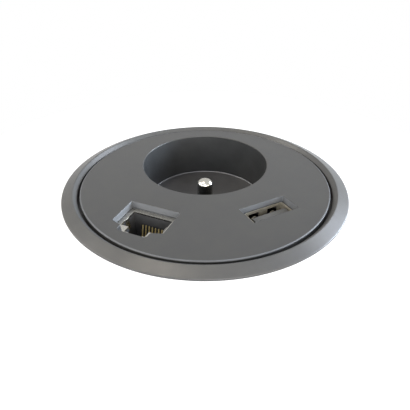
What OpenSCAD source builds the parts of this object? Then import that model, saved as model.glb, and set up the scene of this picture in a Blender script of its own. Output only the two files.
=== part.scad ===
// Round in-desk power module: a trim ring clamped in a desk hole, and a face
// plate with an earthed mains socket, a data jack and a charging port.
// Millimetres, +Z up. The origin is on the ring's axis at the desk surface,
// and -Y points towards the person at the desk.

/* [Trim ring] */
// Diameter of the face plate
insert_d = 74.2; // [73:0.2:76]
// Width of the dark gap round the face plate
gap_w = 0.7; // [0.5:0.1:1.1]
// Width of the bevel between the gap and the ridge
bevel_w = 1.1; // [0.8:0.1:1.4]
// Height that the inner bevel falls from the ridge to the gap
bevel_drop = 1.3; // [0.7:0.1:1.4]
// Width of the sloping band outside the ridge
band_w = 3.3; // [2.8:0.1:6]
// Height of the ridge over the desk
ridge_h = 2; // [1.6:0.1:3]
// Height of the upright lip at the outer edge
lip_h = 0.5; // [0.3:0.1:1]

/* [Threaded sleeve] */
// Width of the sleeve's end that the face plate rests on
ledge_w = 0.9; // [0.7:0.1:1.4]
// Wall from the sleeve's bore to the crest of its thread
sleeve_wall = 3.3; // [3:0.1:4.5]
// Depth of the sleeve's lower end under the desk surface
sleeve_depth = 45; // [42:1:50]
// Height of the thread from root to crest
thread_h = 1; // [0.7:0.1:1.3]
// Distance from one thread turn to the next
thread_pitch = 4; // [3:0.5:6]
// Depth under the desk surface at which the thread starts
thread_top = 4; // [3:0.5:6]
// Width of the two keyways that keep the clamp washer from turning
keyway_w = 6; // [4:0.5:9]
// Depth of the groove inside the sleeve that the housing snaps into
groove_h = 0.8; // [0.6:0.1:1]
// Depth of that groove's middle under the desk surface
groove_z = 14; // [11:0.5:18]

/* [Clamp] */
// Thickness of the desk that the clamp is shown at
desk_t = 25; // [12:1:30]
// Thickness of the rubber pad on the clamp washer
pad_t = 1; // [0.6:0.1:2]
// Thickness of the clamp washer
washer_t = 3; // [2:0.5:4]
// Outer diameter of the clamp washer
washer_d = 92; // [88:1:100]
// Height of the ring nut
nut_h = 10; // [8:0.5:12]
// Outer diameter of the ring nut over its grips
nut_d = 94; // [90:1:102]
// Number of finger grips round the ring nut
nut_grips = 16; // [10:1:20]

/* [Face plate] */
// Height of the face over the desk
face_h = 1.25; // [1:0.05:1.6]
// Thickness of the face plate
plate_t = 2.3; // [2:0.1:3]
// Chamfer at the face plate's edge
plate_chamfer = 0.35; // [0.2:0.05:0.6]
// Thickness of the seal under the face plate's rim
seal_t = 0.3; // [0.2:0.05:0.5]

/* [Socket] */
// Distance of the socket's centre behind the ring's axis
socket_y = 12; // [11:0.25:12.5]
// Diameter of the socket's well
socket_d = 40; // [39.5:0.1:41]
// Depth of the well from the face to its floor
socket_depth = 14.6; // [14:0.1:15.5]
// Wall of the well
well_wall = 1.5; // [1.2:0.1:1.7]
// Chamfer at the well's rim
well_chamfer = 0.25; // [0.1:0.05:0.5]
// Distance between the line and neutral holes
pin_pitch = 19; // [19:0.5:19]
// Diameter of the line and neutral holes
pin_hole_d = 5.4; // [5:0.1:5.8]
// Distance of the earth pin in front of the socket's centre
earth_offset = 10; // [10:0.5:10]
// Diameter of the earth pin
earth_pin_d = 4.8; // [4.6:0.1:5]
// Length of the earth pin over the well's floor
earth_pin_l = 13.9; // [12:0.1:14.5]
// Height of the earth pin's domed tip
earth_dome_h = 1.6; // [1:0.1:2.4]
// Thickness of the floor inside the well
floor_plug_t = 2.2; // [1.5:0.1:3]
// Thickness of the floor's flange under the well
floor_flange_t = 2; // [1.6:0.1:2.6]

/* [Shutter and contacts] */
// Travel of the shutter when a plug goes in
shutter_travel = 6; // [5.5:0.1:6.5]
// Thickness of the shutter
shutter_t = 1.8; // [1.4:0.1:2.2]
// Thickness of the shutter spring's wire
spring_wire = 0.35; // [0.25:0.05:0.5]
// Outer diameter of the shutter spring
spring_d = 1.7; // [1.5:0.1:2]
// Height of the contact carrier
carrier_h = 16; // [15:0.5:17]
// Bore of the line and neutral contacts
contact_bore = 4.9; // [4.8:0.1:5.1]
// Wall of the line and neutral contacts
contact_wall = 1; // [0.7:0.1:1.3]
// Thickness of the contacts' solder flanges and of the earth strap
flange_t = 0.8; // [0.6:0.1:1.2]

/* [Data port] */
// Place of the data port across the face
data_x = -15.75; // [-17:0.25:-14]
// Place of the data port along the face
data_y = -19.35; // [-20:0.25:-17]
// Turn of the data port on the face
data_turn = -23.5; // [-30:0.5:-15]
// Width of the data pocket at the face
data_pocket_w = 15.3; // [14.8:0.1:16]
// Depth of the data pocket's sloping walls
data_pocket_depth = 1.85; // [1.4:0.05:2]
// Slope of the data pocket's walls over their depth
data_draft = 0.4; // [0.2:0.05:0.6]
// Width of the jack's mouth
jack_mouth_w = 11.7; // [11.6:0.1:12]
// Height of the jack's mouth without its latch notch
jack_mouth_h = 6.6; // [6.4:0.1:7]
// Width of the latch notch
latch_w = 6.6; // [6:0.1:7]
// Height of the latch notch beside the mouth
latch_h = 2.2; // [1.5:0.1:2.3]
// Height of the narrow step beside the latch notch
latch_step_h = 0.8; // [0.5:0.1:0.9]
// Thickness of the jack's metal shield
shield_t = 0.4; // [0.3:0.05:0.6]
// Distance between neighbouring jack contacts
jack_pitch = 1.02; // [0.9:0.02:1.1]
// Thickness of the circuit boards
board_t = 1.6; // [1:0.1:2]

/* [Charging port] */
// Place of the charging port across the face
usb_x = 17.75; // [16:0.05:19]
// Place of the charging port along the face
usb_y = -14.3; // [-16:0.05:-14]
// Turn of the charging port on the face
usb_turn = 28.6; // [20:0.5:35]
// Width of the charging pocket
usb_pocket_w = 15.1; // [14.6:0.1:16]
// Height of the charging pocket
usb_pocket_h = 7.35; // [7:0.05:8]
// How far the pocket reaches towards the person from the port's middle
usb_pocket_shift = 0.65; // [0:0.05:0.8]
// How far the pocket reaches to the left from the port's middle
usb_pocket_left = 0.5; // [0:0.05:0.8]
// Depth of the metal shell's rim under the face
usb_recess = 2; // [1.6:0.1:2.4]
// Outer width of the port's metal shell
usb_shell_w = 13.1; // [12.9:0.1:13.4]
// Outer height of the port's metal shell
usb_shell_h = 5.7; // [5.6:0.1:6]
// Wall of the port's metal shell
usb_shell_t = 0.3; // [0.25:0.05:0.4]
// Length of the port's metal shell
usb_shell_l = 14.5; // [13:0.5:17]

/* [Housing] */
// Depth of the module's underside under the desk surface
module_depth = 54; // [53:0.5:58]
// Wall of the lower housing
housing_wall = 1.2; // [1:0.1:1.5]
// Thickness of the base cover
base_t = 2; // [1.6:0.1:3]
// Diameter of the housing screws
screw_d = 2.5; // [2:0.1:3]
// Outer width of the mains inlet
inlet_w = 27.4; // [27:0.1:28]
// Outer height of the mains inlet
inlet_h = 19.4; // [19:0.1:20]
// Depth of the mains inlet's mouth
inlet_depth = 16.5; // [16:0.1:17]
// Wall of the mains inlet
inlet_wall = 1.5; // [1.2:0.1:1.8]

/* [Hidden] */
$fn = 72;

// Colours of the object's materials
anthracite = "#5d5e60";
dark_plastic = "#2c2d30";
nickel = "#d9d6cf";
brass = "#c9a24a";
tin = "#b9bbb8";
gold = "#d8b25a";
board_green = "#2f5a3c";
ferrite = "#3a3a3d";
copper = "#b8703a";
rubber = "#1e1e20";
pale_plastic = "#c9c9c4";
brown_lead = "#6b3a24";
blue_lead = "#2a4a7a";

// Clearances
fit_gap = 0.1;
seat_gap = 0.05;
slide_gap = 0.3;
cut = 1;

// Trim ring and sleeve
insert_r = insert_d / 2;
gap_r = insert_r + gap_w;
ridge_r = gap_r + bevel_w;
flange_r = ridge_r + band_w;
bore_r = insert_r - ledge_w;
crest_r = bore_r + sleeve_wall;
root_r = crest_r - thread_h;
plate_z = face_h - plate_t;
sleeve_top = plate_z - seal_t;
spigot_r = crest_r - 0.2;
tongue_h = 0.7;
tongue_r = (gap_r + spigot_r) / 2;
tongue_t = 0.5;
groove_w = 2.8;
rib_crest = thread_pitch * 0.2;
rib_root = rib_crest + 1.5 * thread_h;
thread_steps = 30;
key_inset = 0.4;

// Clamp
washer_top = -desk_t - pad_t;
nut_top = washer_top - washer_t - 0.2;
nut_bore_r = crest_r + 0.08;
washer_bore_r = crest_r + slide_gap;
washer_ring_w = washer_d / 2 - washer_bore_r;
pad_inner_r = washer_bore_r + 0.2 * washer_ring_w;
pad_outer_r = washer_d / 2 - 0.13 * washer_ring_w;
nut_ring_w = nut_d / 2 - nut_bore_r;
nut_flange_h = 3;
nut_lead_in = 1;
grip_r = 0.4 * nut_ring_w;

// Socket well and what hangs under it
socket_r = socket_d / 2;
well_r = socket_r + well_wall;
floor_z = face_h - socket_depth;
well_end = floor_z - floor_plug_t;
carrier_top = well_end - floor_flange_t;
carrier_end = carrier_top - carrier_h;
earth_y = socket_y - earth_offset;
earth_r = earth_pin_d / 2;
earth_neck_r = earth_r - 0.2;
earth_neck_rise = 0.2;
earth_tail_r = 1.9;
shoulder_r = earth_r + 1.2;
shoulder_h = 1.2;
boss_r = 2.6;
boss_x = well_r + boss_r + 0.4;
carrier_screw_r = 1.2;
ear_h = 4;

// Shutter tray in the top of the carrier
tray_depth = shutter_t + 2 * slide_gap;
pad_d = pin_hole_d / 2 + 0.4;
shutter_w = pin_pitch + 2 * pad_d + 1;
shutter_front = socket_y - pad_d;
shutter_l = 11;
shutter_z = carrier_top - slide_gap - shutter_t;
tray_w = shutter_w + 2 * slide_gap;
tray_back = shutter_front + shutter_l + shutter_travel + slide_gap;
spring_seat = shutter_front + 6.6;
spring_end = socket_y + well_r - 3;
trough_w = spring_d + 2 * slide_gap;

// Contacts
contact_r = contact_bore / 2 + contact_wall;
pocket_r = contact_r + 0.3;
contact_flange_r = contact_r + 1.15;
flange_z = carrier_end - flange_t;
contact_top = carrier_top - tray_depth - 0.4;
contact_slit = 0.8;
tab_w = 4;
tab_l = 6;
tab_x = inlet_w / 2 + 0.8;

// Mains inlet
blades_y = socket_y;
inlet_y = blades_y - 2;
inlet_top = -module_depth + inlet_depth + inlet_wall;
inlet_corner = 4;
blade_pitch = 14;
blade_w = 2;
blade_h = 4;
earth_blade_shift = 4;

// Housing
housing_r = bore_r - 0.4;
housing_in = housing_r - housing_wall;
base_top = -module_depth + base_t;
screw_r = screw_d / 2;
column_r = 3.2;
column_at = housing_in - 2.6;
column_angles = [-10, 190, 270];
plate_boss_r = column_r - 0.9;
plate_boss_end = plate_z - 7;
bump_angles = [48, 168, 288];
bump_r = bore_r + groove_h - slide_gap;
bump_h = groove_w / 2 - slide_gap;
screw_head_r = screw_r + 1.2;
screw_head_h = 1.2;

// Data port, seen from its mouth's centre with +y away from the person
data_far = 5.6;
data_near = 4.5;
data_notch = 7.75;
data_notch_w = 9;
jack_far = 4.9;
jack_near = 7;
jack_half_w = data_pocket_w / 2 - 0.3;
jack_top = face_h - data_pocket_depth - seat_gap;
mouth_far = jack_mouth_h / 2;
jack_mouth_depth = 15;
wire_top = 4.05;
wire_slot_gap = 0.45;
jack_l = (jack_top - board_t - base_top - fit_gap) / 2;
data_board_top = jack_top - jack_l;
rear_jack_top = data_board_top - board_t;

// Charging port
usb_top = face_h - usb_recess;
usb_rest = usb_top - 0.8;
usb_collar_t = 1.2;
usb_finger_x = 3.15;
usb_board_y = -usb_shell_h / 2 - fit_gap;
tongue_y = -0.9;
tongue_thick = 1.84;
tongue_w = 11.1;
tongue_recess = 0.15;
usb_finger_l = 6.8;
usb_slot_drop = 0.8;
charger_board_w = 22;
charger_board_top = -4;
transformer_z = base_top + 22;
core_w = 13;
core_d = 9;
core_h = 12;
core_leg = 4;
window_w = 3.2;
cap_r = 4;
cap_l = 11;
cap_z = base_top + 9;
chip = [7, 1.5, 6];
rectifier = [4.5, 2, 6];
inductor = [7, 2.5, 7];
chip_z = charger_board_top - 12;
rectifier_z = base_top + 25;
inductor_z = base_top + 24;

// Route of each supply lead, from its contact's tab to the charger board
lead_r = 0.7;
line_route = [[tab_x + flange_t, socket_y, -38], [17, socket_y, -38], [19.5, 10, -37.4], [22, 5, -36.6],
    [23.8, -1, -36], [24.8, -6, -35.5], [25.6, -9.5, -35.2],
    usb_point(9.5, usb_board_y + 1.4, -35), usb_point(9.5, usb_board_y, -35)];
neutral_route = [[-tab_x - flange_t, socket_y, -38], [-17, socket_y, -38], [-19, 9, -37.4], [-18, 3, -36.4],
    [-13, -2, -35.6], [-6, -5, -35], [0, -8, -35], [4.5, -12.5, -35], [7.5, -17, -35],
    usb_point(-9, usb_board_y + 1.4, -35), usb_point(-9, usb_board_y, -35)];

// Place on the part of a point given in the charging port's own frame
function usb_point(x, y, z) =
    [usb_x + x * cos(usb_turn) - y * sin(usb_turn), usb_y + x * sin(usb_turn) + y * cos(usb_turn), z];

// Tube of radius r between radii, from z0 up to z1
module tube(r_out, r_in, z0, z1) {
    translate([0, 0, z0]) difference() {
        cylinder(h = z1 - z0, r = r_out);
        translate([0, 0, -cut]) cylinder(h = z1 - z0 + 2 * cut, r = r_in);
    }
}

// Block centred on x and y, from z0 up to z1
module block(w, d, z0, z1) {
    translate([-w / 2, -d / 2, z0]) cube([w, d, z1 - z0]);
}

module at_data() {
    translate([data_x, data_y, 0]) rotate([0, 0, data_turn]) children();
}

module at_usb() {
    translate([usb_x, usb_y, 0]) rotate([0, 0, usb_turn]) children();
}

module at_columns() {
    for (a = column_angles) rotate([0, 0, a]) translate([column_at, 0, 0]) children();
}

// Unit vector along v
function unit(v) = v / norm(v);

// Direction of a route at point i
function heading(route, i) =
    i == 0 ? unit(route[1] - route[0]) :
    i == len(route) - 1 ? unit(route[i] - route[i - 1]) :
    unit(unit(route[i + 1] - route[i]) + unit(route[i] - route[i - 1]));

// Round tube swept along a route that never runs along the direction up
module sweep(route, r, sides, up) {
    n = len(route);
    rings = [for (i = [0 : n - 1])
        let (t = heading(route, i), a = unit(cross(up, t)), b = cross(t, a))
        for (k = [0 : sides - 1]) route[i] + r * (cos(360 * k / sides) * a + sin(360 * k / sides) * b)];
    walls = [for (i = [0 : n - 2]) for (k = [0 : sides - 1])
        let (j = (k + 1) % sides) each [
            [i * sides + k, (i + 1) * sides + j, i * sides + j],
            [i * sides + k, (i + 1) * sides + k, (i + 1) * sides + j]]];
    first = [[for (k = [0 : sides - 1]) k]];
    last = [[for (k = [sides - 1 : -1 : 0]) (n - 1) * sides + k]];
    polyhedron(points = rings, faces = concat(walls, first, last));
}

module trim_ring() {
    color(anthracite) difference() {
        rotate_extrude() polygon([[gap_r, sleeve_top], [spigot_r, sleeve_top], [spigot_r, 0],
            [flange_r, 0], [flange_r, lip_h], [ridge_r, ridge_h], [gap_r, ridge_h - bevel_drop]]);
        tube(tongue_r + tongue_t / 2 + seat_gap, tongue_r - tongue_t / 2 - seat_gap,
            sleeve_top - cut, sleeve_top + tongue_h + fit_gap);
    }
}

// Points of the thread at step i, from its lower root to its upper one
function thread_section(i) =
    let (a = 360 * i / thread_steps, z = -sleeve_depth - thread_pitch + thread_pitch * i / thread_steps)
    [for (p = [[root_r, -rib_root / 2], [crest_r, -rib_crest / 2], [crest_r, rib_crest / 2],
        [root_r, rib_root / 2]]) [p[0] * cos(a), p[0] * sin(a), z + p[1]]];

// Solid right-hand screw, longer than the sleeve at both ends
module thread_core() {
    last = ceil((sleeve_depth - thread_top) / thread_pitch + 3) * thread_steps;
    rings = [for (i = [0 : last]) each thread_section(i)];
    points = concat(rings, [[0, 0, -sleeve_depth - 2 * thread_pitch], [0, 0, thread_pitch]]);
    low = len(rings);
    high = low + 1;
    sides = [for (i = [0 : last - 1]) for (k = [0 : 2]) each [
        [i * 4 + k, (i + 1) * 4 + k + 1, (i + 1) * 4 + k],
        [i * 4 + k, i * 4 + k + 1, (i + 1) * 4 + k + 1]]];
    roots = [for (i = [0 : last - thread_steps - 1])
        let (j = i + thread_steps) each [
            [i * 4 + 3, (j + 1) * 4, (i + 1) * 4 + 3],
            [i * 4 + 3, j * 4, (j + 1) * 4]]];
    low_end = concat([for (i = [0 : thread_steps - 1]) [low, i * 4, (i + 1) * 4]],
        [[low, thread_steps * 4, 3], [low, 3, 2], [low, 2, 1], [low, 1, 0]]);
    high_end = concat([for (i = [last - thread_steps : last - 1]) [high, (i + 1) * 4 + 3, i * 4 + 3]],
        [[high, last * 4, last * 4 + 1], [high, last * 4 + 1, last * 4 + 2],
        [high, last * 4 + 2, last * 4 + 3], [high, (last - thread_steps) * 4 + 3, last * 4]]);
    polyhedron(points = points, faces = concat(sides, roots, low_end, high_end));
}

module threaded_sleeve() {
    color(dark_plastic) difference() {
        union() {
            intersection() {
                thread_core();
                translate([0, 0, -sleeve_depth]) cylinder(h = sleeve_depth - thread_top + 1, r = crest_r + 2);
            }
            translate([0, 0, -thread_top]) cylinder(h = thread_top + sleeve_top, r = spigot_r);
            tube(tongue_r + tongue_t / 2, tongue_r - tongue_t / 2, sleeve_top - cut, sleeve_top + tongue_h);
        }
        translate([0, 0, -sleeve_depth - cut]) cylinder(h = sleeve_depth + 2 * cut, r = bore_r);
        translate([0, 0, -groove_z - groove_w / 2]) cylinder(h = groove_w, r = bore_r + groove_h);
        for (side = [0, 180]) rotate([0, 0, side])
            translate([root_r - key_inset, -keyway_w / 2, -sleeve_depth - cut])
                cube([thread_h + 2, keyway_w, sleeve_depth - thread_top + cut]);
    }
}

module insert_seal() {
    color(rubber) tube(insert_r - 0.1, bore_r + 0.15, sleeve_top, plate_z);
}

// Outline of the data pocket, drawn in by d on every side
module data_main(d) {
    polygon([[-data_pocket_w / 2 + d, data_far - d], [data_pocket_w / 2 - d, data_far - d],
        [data_pocket_w / 2 - d, -data_near], [data_notch_w / 2 - d, -data_near - 1.1 + d],
        [-data_notch_w / 2 + d, -data_near - 1.1 + d], [-data_pocket_w / 2 + d, -data_near]]);
}

module data_latch(d) {
    polygon([[-data_notch_w / 2 + d, 0], [data_notch_w / 2 - d, 0],
        [data_notch_w / 2 - d, -data_notch + 0.6 + d], [data_notch_w / 2 - 0.6 - d, -data_notch + d],
        [-data_notch_w / 2 + 0.6 + d, -data_notch + d], [-data_notch_w / 2 + d, -data_notch + 0.6 + d]]);
}

// One tapered part of the data pocket, open above the face
module data_taper(index) {
    thin = 0.01;
    over = 0.2;
    grow = data_draft * over / data_pocket_depth;
    hull() {
        translate([0, 0, face_h + over]) linear_extrude(thin) {
            if (index == 0) data_main(-grow);
            if (index == 1) data_latch(-grow);
        }
        translate([0, 0, face_h - data_pocket_depth - thin]) linear_extrude(thin) {
            if (index == 0) data_main(data_draft);
            if (index == 1) data_latch(data_draft);
        }
    }
}

module insert_plate() {
    color(anthracite) difference() {
        union() {
            rotate_extrude() polygon([[0, plate_z], [insert_r, plate_z], [insert_r, face_h - plate_chamfer],
                [insert_r - plate_chamfer, face_h], [0, face_h]]);
            translate([0, socket_y, well_end]) cylinder(h = face_h - 0.5 - well_end, r = well_r);
            at_columns() translate([0, 0, plate_boss_end])
                cylinder(h = plate_z - plate_boss_end + 0.5, r = plate_boss_r);
            for (side = [-1, 1]) {
                translate([side * boss_x, socket_y, carrier_top])
                    cylinder(h = plate_z - carrier_top + 0.5, r = boss_r);
                translate([side * (well_r + boss_x) / 2, socket_y, 0])
                    block(boss_x - well_r + 1, 2, well_end + 1, plate_z + 0.5);
            }
            at_usb() translate([-usb_pocket_left, -usb_pocket_shift, 0])
                block(usb_pocket_w + 2 * usb_collar_t, usb_pocket_h + 2 * usb_collar_t,
                    usb_rest - 1.4, plate_z + 0.5);
        }
        translate([0, socket_y, well_end - cut]) cylinder(h = face_h - well_end + 2 * cut, r = socket_r);
        translate([0, socket_y, face_h - well_chamfer])
            cylinder(h = well_chamfer + 0.1, r1 = socket_r, r2 = socket_r + well_chamfer + 0.1);
        at_columns() translate([0, 0, plate_boss_end - cut])
            cylinder(h = plate_z - plate_boss_end + cut, r = screw_r + seat_gap);
        for (side = [-1, 1]) translate([side * boss_x, socket_y, carrier_top - cut])
            cylinder(h = 7 + cut, r = carrier_screw_r + seat_gap);
        at_data() {
            data_taper(0);
            data_taper(1);
            translate([0, (jack_far - jack_near) / 2, 0])
                block(2 * (jack_half_w + fit_gap), jack_far + jack_near + 2 * fit_gap, plate_z - cut,
                    jack_top + seat_gap);
        }
        at_usb() {
            translate([-usb_pocket_left, -usb_pocket_shift, 0]) block(usb_pocket_w, usb_pocket_h, usb_rest, face_h + cut);
            block(usb_shell_w + 2 * fit_gap, usb_shell_h + 2 * fit_gap, usb_rest - 3, usb_rest + cut);
        }
    }
}

module socket_floor() {
    color(dark_plastic) translate([0, socket_y, 0]) difference() {
        union() {
            rotate_extrude() polygon([[0, well_end - 0.5], [socket_r - fit_gap, well_end - 0.5],
                [socket_r - fit_gap, floor_z - 0.2], [socket_r - fit_gap - 0.2, floor_z], [0, floor_z]]);
            translate([0, 0, carrier_top]) cylinder(h = floor_flange_t, r = well_r);
        }
        for (side = [-1, 1]) translate([side * pin_pitch / 2, 0, carrier_top - cut])
            cylinder(h = floor_z - carrier_top + 2 * cut, r = pin_hole_d / 2);
        translate([0, -earth_offset, carrier_top - cut])
            cylinder(h = floor_z - carrier_top + 2 * cut, r = earth_neck_r + seat_gap);
    }
}

module earth_pin() {
    steps = 10;
    dome_z = floor_z + earth_pin_l - earth_dome_h;
    color(nickel) translate([0, earth_y, 0]) rotate_extrude() polygon(concat(
        [[0, carrier_end], [earth_tail_r, carrier_end], [earth_tail_r, carrier_top - shoulder_h],
        [shoulder_r, carrier_top - shoulder_h], [shoulder_r, carrier_top], [earth_neck_r, carrier_top],
        [earth_neck_r, floor_z + earth_neck_rise], [earth_r, floor_z + earth_neck_rise]],
        [for (k = [0 : steps]) let (a = 90 * k / steps)
            [k == steps ? 0 : earth_r * cos(a), dome_z + earth_dome_h * sin(a)]]));
}

module earth_strap() {
    strap_w = blade_w + 2;
    color(brass) difference() {
        union() {
            translate([0, earth_y, flange_z]) cylinder(h = flange_t, r = earth_tail_r + 0.7);
            translate([-strap_w / 2, earth_y, flange_z])
                cube([strap_w, blades_y - earth_blade_shift - earth_y + blade_h / 2 + 0.5, flange_t]);
        }
        translate([0, earth_y, flange_z - cut]) cylinder(h = flange_t + 2 * cut, r = earth_tail_r / 2);
    }
}

module shutter() {
    color(dark_plastic) difference() {
        translate([-shutter_w / 2, shutter_front, shutter_z]) cube([shutter_w, shutter_l, shutter_t]);
        // The opening between the two pads, ahead of the bridge
        translate([-pin_pitch / 2 + pad_d + 0.6, shutter_front - cut, shutter_z - cut])
            cube([pin_pitch - 2 * pad_d - 1.2, 5.4 + cut, shutter_t + 2 * cut]);
        // Slot that holds the spring
        translate([-trough_w / 2, spring_seat - 0.05, shutter_z - cut])
            cube([trough_w, shutter_l, shutter_t + 2 * cut]);
        // Ramps that the plug's pins push along
        for (side = [-1, 1])
            translate([side * pin_pitch / 2 - pad_d - 0.3, shutter_front, shutter_z + 0.5])
                rotate([14, 0, 0]) cube([2 * pad_d + 0.6, 5, shutter_t]);
    }
}

// Coil of the shutter spring, with straight ends along its axis
module shutter_spring() {
    turns = 9;
    per_turn = 8;
    r = (spring_d - spring_wire) / 2;
    y0 = spring_seat + spring_wire / 2;
    span = spring_end - spring_seat - spring_wire;
    z = shutter_z + shutter_t / 2;
    route = [for (k = [0 : turns * per_turn]) let (a = 360 * k / per_turn)
        [r * cos(a), y0 + span * k / (turns * per_turn), z + r * sin(a)]];
    echo(spring_gap = span / turns - spring_wire);
    color(nickel) sweep(route, spring_wire / 2, 6, [0, 1, 0]);
}

// Slotted tube round a plug pin, with a solder flange and a tab beside the inlet
module pin_contact() {
    strip_x = pin_pitch / 2 + contact_bore / 2 + 0.5;
    color(brass) {
        translate([pin_pitch / 2, socket_y, 0]) difference() {
            union() {
                tube(contact_r, contact_bore / 2, flange_z, contact_top);
                tube(contact_flange_r, contact_bore / 2, flange_z, carrier_end);
            }
            for (a = [45, 135]) rotate([0, 0, a])
                block(2 * contact_r + 2, contact_slit, carrier_end + 4, contact_top + cut);
        }
        translate([strip_x, socket_y - tab_w / 2, flange_z])
            cube([tab_x + flange_t - strip_x, tab_w, flange_t]);
        translate([tab_x, socket_y - tab_w / 2, flange_z - tab_l])
            cube([flange_t, tab_w, tab_l + flange_t / 2]);
    }
}

module line_contact() { pin_contact(); }

module neutral_contact() { mirror([1, 0, 0]) pin_contact(); }

module contact_carrier() {
    tray_floor = carrier_top - tray_depth;
    color(dark_plastic) difference() {
        union() {
            translate([0, socket_y, carrier_end]) cylinder(h = carrier_h, r = well_r);
            for (side = [-1, 1]) {
                translate([side * boss_x, socket_y, carrier_top - ear_h]) cylinder(h = ear_h, r = boss_r);
                translate([side * (well_r + boss_x) / 2, socket_y, 0])
                    block(boss_x - well_r + 1, 3, carrier_top - ear_h, carrier_top);
            }
        }
        translate([-tray_w / 2, shutter_front - slide_gap, tray_floor])
            cube([tray_w, tray_back - shutter_front + slide_gap, tray_depth + cut]);
        translate([-trough_w / 2, tray_back - cut, tray_floor])
            cube([trough_w, spring_end - tray_back + cut + seat_gap, tray_depth + cut]);
        for (side = [-1, 1]) {
            translate([side * pin_pitch / 2, socket_y, carrier_end - cut])
                cylinder(h = carrier_h + cut, r = pocket_r);
            translate([side * boss_x, socket_y, carrier_top - ear_h - cut])
                cylinder(h = ear_h + 2 * cut, r = carrier_screw_r + 0.2);
        }
        translate([0, earth_y, carrier_end - cut]) cylinder(h = carrier_h + 2 * cut, r = earth_tail_r + fit_gap);
        translate([0, earth_y, carrier_top - shoulder_h - fit_gap])
            cylinder(h = shoulder_h + fit_gap + cut, r = shoulder_r + fit_gap);
    }
}

module carrier_screws() {
    head_h = 1.6;
    head_z = carrier_top - ear_h - head_h;
    color(tin) for (side = [-1, 1]) translate([side * boss_x, socket_y, 0]) difference() {
        union() {
            translate([0, 0, head_z]) cylinder(h = head_h, r = carrier_screw_r + 1);
            translate([0, 0, head_z + head_h / 2]) cylinder(h = ear_h + 6, r = carrier_screw_r);
        }
        block(3, 0.6, head_z - cut, head_z + 0.6);
        block(0.6, 3, head_z - cut, head_z + 0.6);
    }
}

// Outline of the inlet, with the two corners on its earth side cut off
module inlet_outline(w, h, c) {
    polygon([[-w / 2, h / 2], [w / 2, h / 2], [w / 2, -h / 2 + c], [w / 2 - c, -h / 2],
        [-w / 2 + c, -h / 2], [-w / 2, -h / 2 + c]]);
}

// Places of the three inlet blades: line, neutral and earth
module at_blades() {
    for (side = [-1, 1]) translate([side * blade_pitch / 2, blades_y, 0]) children();
    translate([0, blades_y - earth_blade_shift, 0]) children();
}

module mains_inlet() {
    mouth_w = inlet_w - 2 * inlet_wall;
    mouth_h = inlet_h - 2 * inlet_wall;
    color(rubber) difference() {
        translate([0, inlet_y, 0]) union() {
            translate([0, 0, -module_depth]) linear_extrude(inlet_top + module_depth)
                inlet_outline(inlet_w, inlet_h, inlet_corner + 0.5);
            translate([0, 0, base_top]) linear_extrude(1.6)
                inlet_outline(inlet_w + 4, inlet_h + 4, inlet_corner + 1);
        }
        translate([0, inlet_y, -module_depth - cut]) linear_extrude(inlet_depth + cut)
            inlet_outline(mouth_w, mouth_h, inlet_corner);
        at_blades() block(blade_w + 2 * seat_gap, blade_h + 2 * seat_gap, -module_depth, 0);
    }
}

module inlet_blades() {
    color(nickel) at_blades() block(blade_w, blade_h, -module_depth + 2, flange_z);
}

// Outline of the jack's mouth, with its latch notch and the small step behind it
module mouth_outline() {
    latch_y = -mouth_far - latch_h;
    square([jack_mouth_w, jack_mouth_h], center = true);
    translate([-latch_w / 2, latch_y]) square([latch_w, latch_h + cut]);
    translate([-latch_w / 3, latch_y - latch_step_h]) square([2 * latch_w / 3, latch_step_h + cut]);
}

module shield_outline(d) {
    translate([-jack_half_w + d, -jack_near + d]) square([2 * (jack_half_w - d), jack_far + jack_near - 2 * d]);
}

// A jack is drawn with its mouth up at z = 0
module jack_shield() {
    color(tin) difference() {
        translate([0, 0, -jack_l]) linear_extrude(jack_l) shield_outline(0);
        translate([0, 0, -jack_l - cut]) linear_extrude(jack_l + cut - shield_t) shield_outline(shield_t);
        translate([0, 0, -shield_t - cut]) linear_extrude(shield_t + 2 * cut) mouth_outline();
    }
}

module jack_body() {
    top = -shield_t - seat_gap;
    color(dark_plastic) difference() {
        translate([0, 0, -jack_l]) linear_extrude(jack_l + top) shield_outline(shield_t + seat_gap);
        translate([0, 0, -jack_mouth_depth]) linear_extrude(jack_mouth_depth) mouth_outline();
        // Slot behind the contacts
        translate([0, mouth_far + 0.2, 0])
            block(8 * jack_pitch, 1.4, -jack_mouth_depth - 3, wire_slot_gap - wire_top);
    }
}

// Eight sprung wires that lean out from the slot into the mouth
module jack_contacts() {
    wire = 0.42;
    wire_l = 10.7;
    color(gold) for (k = [0 : 7]) translate([(k - 3.5) * jack_pitch - wire / 2, mouth_far + 0.19, -wire_top])
        rotate([-14, 0, 0]) translate([0, 0, -wire_l]) cube([wire, wire, wire_l]);
}

module at_front_jack() {
    at_data() translate([0, 0, jack_top]) children();
}

// The rear jack is the front one turned over about the board
module at_rear_jack() {
    at_data() translate([0, 0, rear_jack_top - jack_l]) mirror([0, 0, 1]) children();
}

module data_jack_shield() { at_front_jack() jack_shield(); }

module data_jack_body() { at_front_jack() jack_body(); }

module data_jack_contacts() { at_front_jack() jack_contacts(); }

module rear_jack_shield() { at_rear_jack() jack_shield(); }

module rear_jack_body() { at_rear_jack() jack_body(); }

module rear_jack_contacts() { at_rear_jack() jack_contacts(); }

module data_board() {
    color(board_green) at_data() translate([0, (jack_far - jack_near) / 2, 0])
        block(2 * jack_half_w + 0.4, jack_far + jack_near + 0.4, rear_jack_top, data_board_top);
}

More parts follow.
